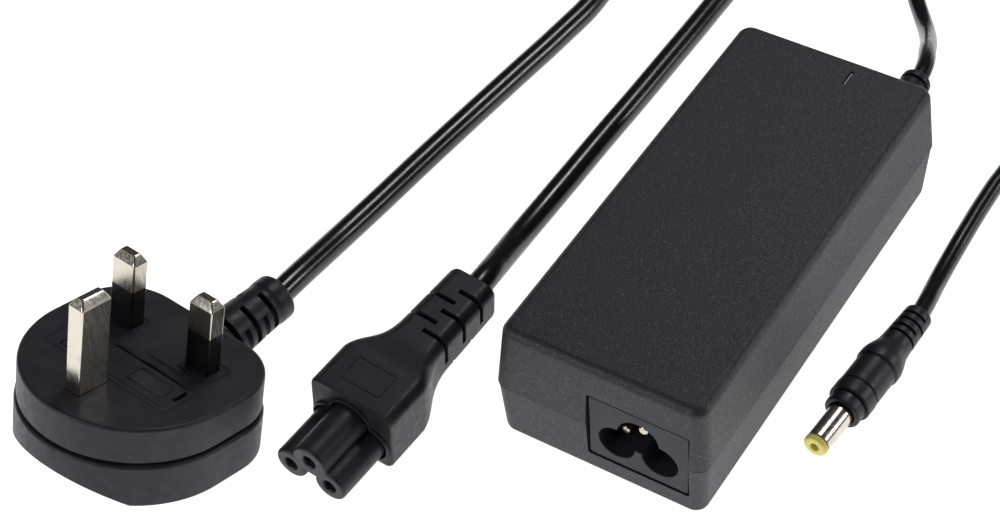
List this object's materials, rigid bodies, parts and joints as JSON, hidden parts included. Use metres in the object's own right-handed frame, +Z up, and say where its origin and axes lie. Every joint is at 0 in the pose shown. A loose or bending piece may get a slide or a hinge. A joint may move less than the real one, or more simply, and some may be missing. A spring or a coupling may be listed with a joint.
{
  "type": "laptop power adapter",
  "caption": "Black brick power supply with a mains inlet, a captive low-voltage lead with a barrel plug, and a loose mains lead with a fused three-pin plug.",
  "frame": {"origin": "on the resting surface, under the middle of the brick", "axes": "+Y along the brick from the mains inlet end to the low-voltage cable end, +Z up, +X to the right seen from the inlet end"},
  "size_m": [0.1988, 0.3135, 0.0494],
  "materials": {
    "case_plastic": "fine spark-eroded texture, charcoal black",
    "inlet_plastic": "smooth satin dark grey",
    "moulding": "satin black flexible moulding",
    "plug_plastic": "satin black rigid moulding",
    "cable_jacket": "smooth semi-gloss black jacket",
    "pin_sleeve": "smooth black sleeve",
    "nickel_plate": "bright nickel plate, slightly warm",
    "contact_brass": "plain brass",
    "tip_plastic": "pale yellow moulding",
    "board": "green solder mask",
    "chip": "black epoxy moulding",
    "film_capacitor": "ochre plastic box",
    "disc_capacitor": "blue lacquer",
    "copper_winding": "enamelled copper wire",
    "capacitor_sleeve": "shrink sleeve",
    "heatsink": "plain sheet",
    "ferrite": "sintered dark grey",
    "winding_tape": "yellow polyester tape",
    "insulation": "thin pale sheet",
    "clear_plastic": "clear moulding",
    "fuse_ceramic": "unglazed ceramic tube, pale",
    "fuse_cap_tin": "tin-plated cap"
  },
  "bodies": {
    "adapter": {"upper_case": "case_plastic", "lower_case": "case_plastic", "inlet_housing": "inlet_plastic", "inlet_pin_live": "nickel_plate", "inlet_pin_neutral": "nickel_plate", "inlet_pin_earth": "nickel_plate", "circuit_board": "board", "board_fuse": "chip", "suppression_capacitor": "film_capacitor", "common_mode_choke": "copper_winding", "bridge_rectifier": "chip", "primary_capacitor": "capacitor_sleeve", "primary_heatsink": "heatsink", "switching_transistor": "chip", "controller_chip": "chip", "transformer_core": "ferrite", "transformer_winding": "winding_tape", "safety_capacitor": "disc_capacitor", "optocoupler": "chip", "secondary_heatsink": "heatsink", "output_rectifier": "chip", "output_capacitor_1": "capacitor_sleeve", "output_capacitor_2": "capacitor_sleeve", "insulation_sheet": "insulation", "status_led": "clear_plastic", "light_guide": "clear_plastic", "dc_gland": "moulding", "dc_cable_start": "cable_jacket", "dc_cable_coil": "cable_jacket", "dc_cable_end": "cable_jacket", "dc_plug_inner_sleeve": "contact_brass", "dc_plug_tip_insulator": "tip_plastic", "dc_plug_barrel": "nickel_plate", "dc_plug_collar": "moulding", "dc_plug_overmould": "moulding"},
    "mains_lead": {"connector_overmould": "moulding", "connector_nose": "moulding", "connector_contact_live": "contact_brass", "connector_contact_neutral": "contact_brass", "connector_contact_earth": "contact_brass", "mains_cable_connector_side": "cable_jacket", "mains_cable_coil": "cable_jacket", "mains_cable_plug_side": "cable_jacket", "plug_face": "plug_plastic", "plug_back": "plug_plastic", "plug_pin_live": "nickel_plate", "plug_sleeve_live": "pin_sleeve", "plug_pin_neutral": "nickel_plate", "plug_sleeve_neutral": "pin_sleeve", "plug_pin_earth": "nickel_plate", "fuse_clip_supply": "contact_brass", "fuse_clip_load": "contact_brass", "plug_strain_relief": "moulding"},
    "fuse_drawer": {"fuse_carrier": "plug_plastic", "fuse_body": "fuse_ceramic", "fuse_cap_supply": "fuse_cap_tin", "fuse_cap_load": "fuse_cap_tin"}
  },
  "joints": [
    {"name": "mains_lead_lift", "type": "slide", "parent": "adapter", "child": "mains_lead", "axis": [0, 0, 1], "range_m": [0, 0.08]},
    {"name": "fuse_carrier_slide", "type": "slide", "parent": "mains_lead", "child": "fuse_drawer", "axis": [0.0344, 0.3021, 0.9527], "range_m": [0, 0.016]}
  ]
}
